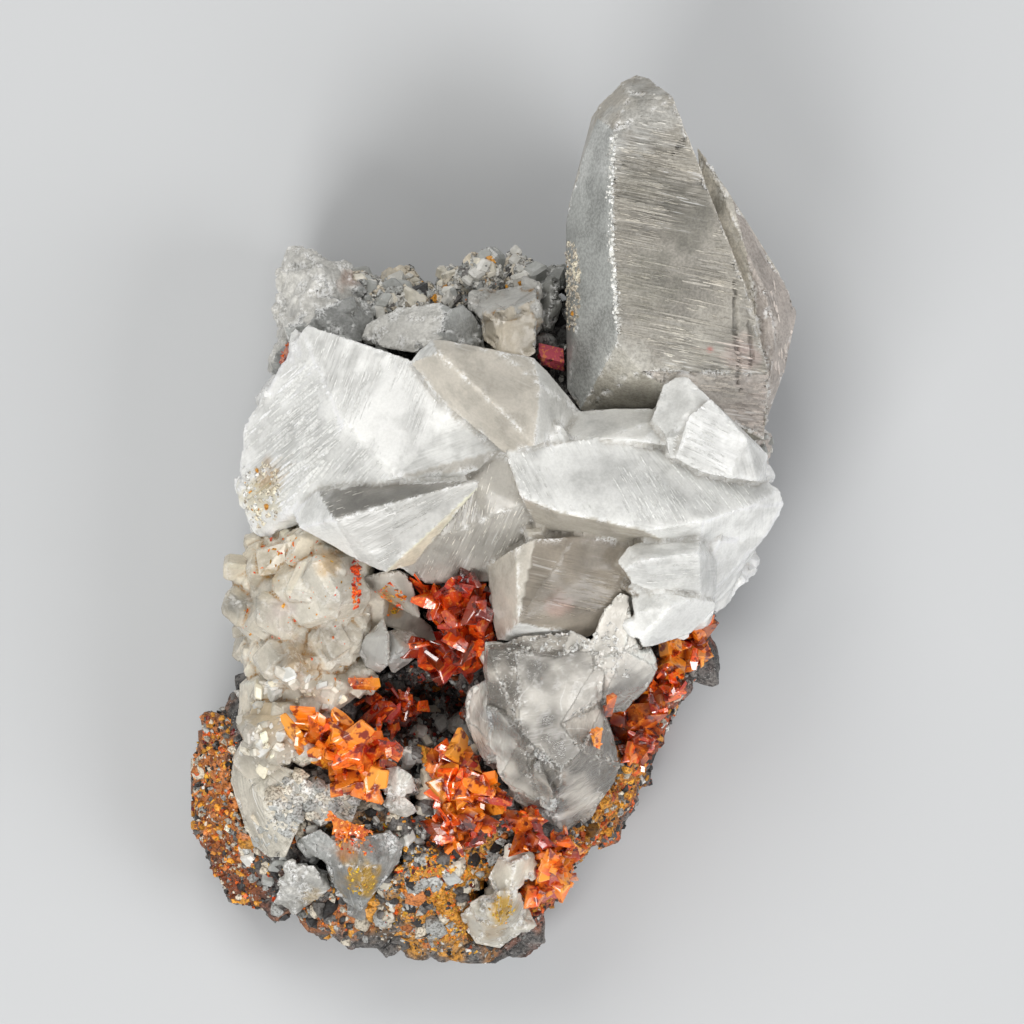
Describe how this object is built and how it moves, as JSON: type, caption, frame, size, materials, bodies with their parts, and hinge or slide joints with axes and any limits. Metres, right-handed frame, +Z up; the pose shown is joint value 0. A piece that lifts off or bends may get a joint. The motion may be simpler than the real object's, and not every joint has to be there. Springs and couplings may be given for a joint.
{
  "type": "calcite specimen with realgar on matrix",
  "caption": "Loose mineral specimen: intergrown white, grey and clear calcite crystals with orange-red realgar prisms on a dark grey rock matrix, lying on its flat back.",
  "frame": {"origin": "middle of the footprint, on the surface that the rock's flat back rests on", "axes": "+Z up, out of the face that shows the crystals; +Y along the specimen, towards the large crystal's tip; +X to the right on the face that shows"},
  "size_m": [0.0608, 0.0892, 0.0355],
  "materials": {
    "white_calcite": "milky, translucent, glossy cleavage faces with fine striations",
    "grey_calcite": "grey, translucent, striated satin faces",
    "clear_calcite": "clear, with inner fractures and a glassy surface",
    "cream_calcite": "cream, sugary, translucent",
    "smoky_calcite": "dark grey, frosted",
    "realgar": "orange-red, translucent, glossy",
    "rock": "rough, granular, with orange and yellow crusts"
  },
  "bodies": {
    "root": {"large_calcite_crystal": "grey_calcite", "white_calcite_cluster": "white_calcite", "clear_calcite_crystal": "clear_calcite", "upper_left_calcite": "grey_calcite", "sugary_calcite": "grey_calcite", "blocky_calcite": "cream_calcite", "smoky_calcite": "smoky_calcite", "fibrous_calcite_slab": "white_calcite", "grey_calcite_tooth": "grey_calcite", "small_grey_calcite": "grey_calcite", "lower_right_calcite": "white_calcite", "lower_left_calcite": "grey_calcite", "dog_tooth_calcite": "clear_calcite", "calcite_druse": "cream_calcite", "rock": "rock", "realgar_top_cluster": "realgar", "realgar_pocket_cluster": "realgar", "realgar_left_cluster": "realgar", "realgar_centre_cluster": "realgar", "realgar_lower_cluster": "realgar", "realgar_spray": "realgar", "realgar_lower_right_cluster": "realgar", "realgar_right_edge_cluster": "realgar", "realgar_upper_right_cluster": "realgar", "realgar_prism_under_large_crystal": "realgar", "realgar_prism_left_edge": "realgar", "realgar_prism_on_druse": "realgar", "realgar_prism_on_clear_crystal": "realgar", "realgar_tuft_on_clear_crystal": "realgar", "realgar_ribbon_lower_left": "realgar"}
  },
  "joints": []
}
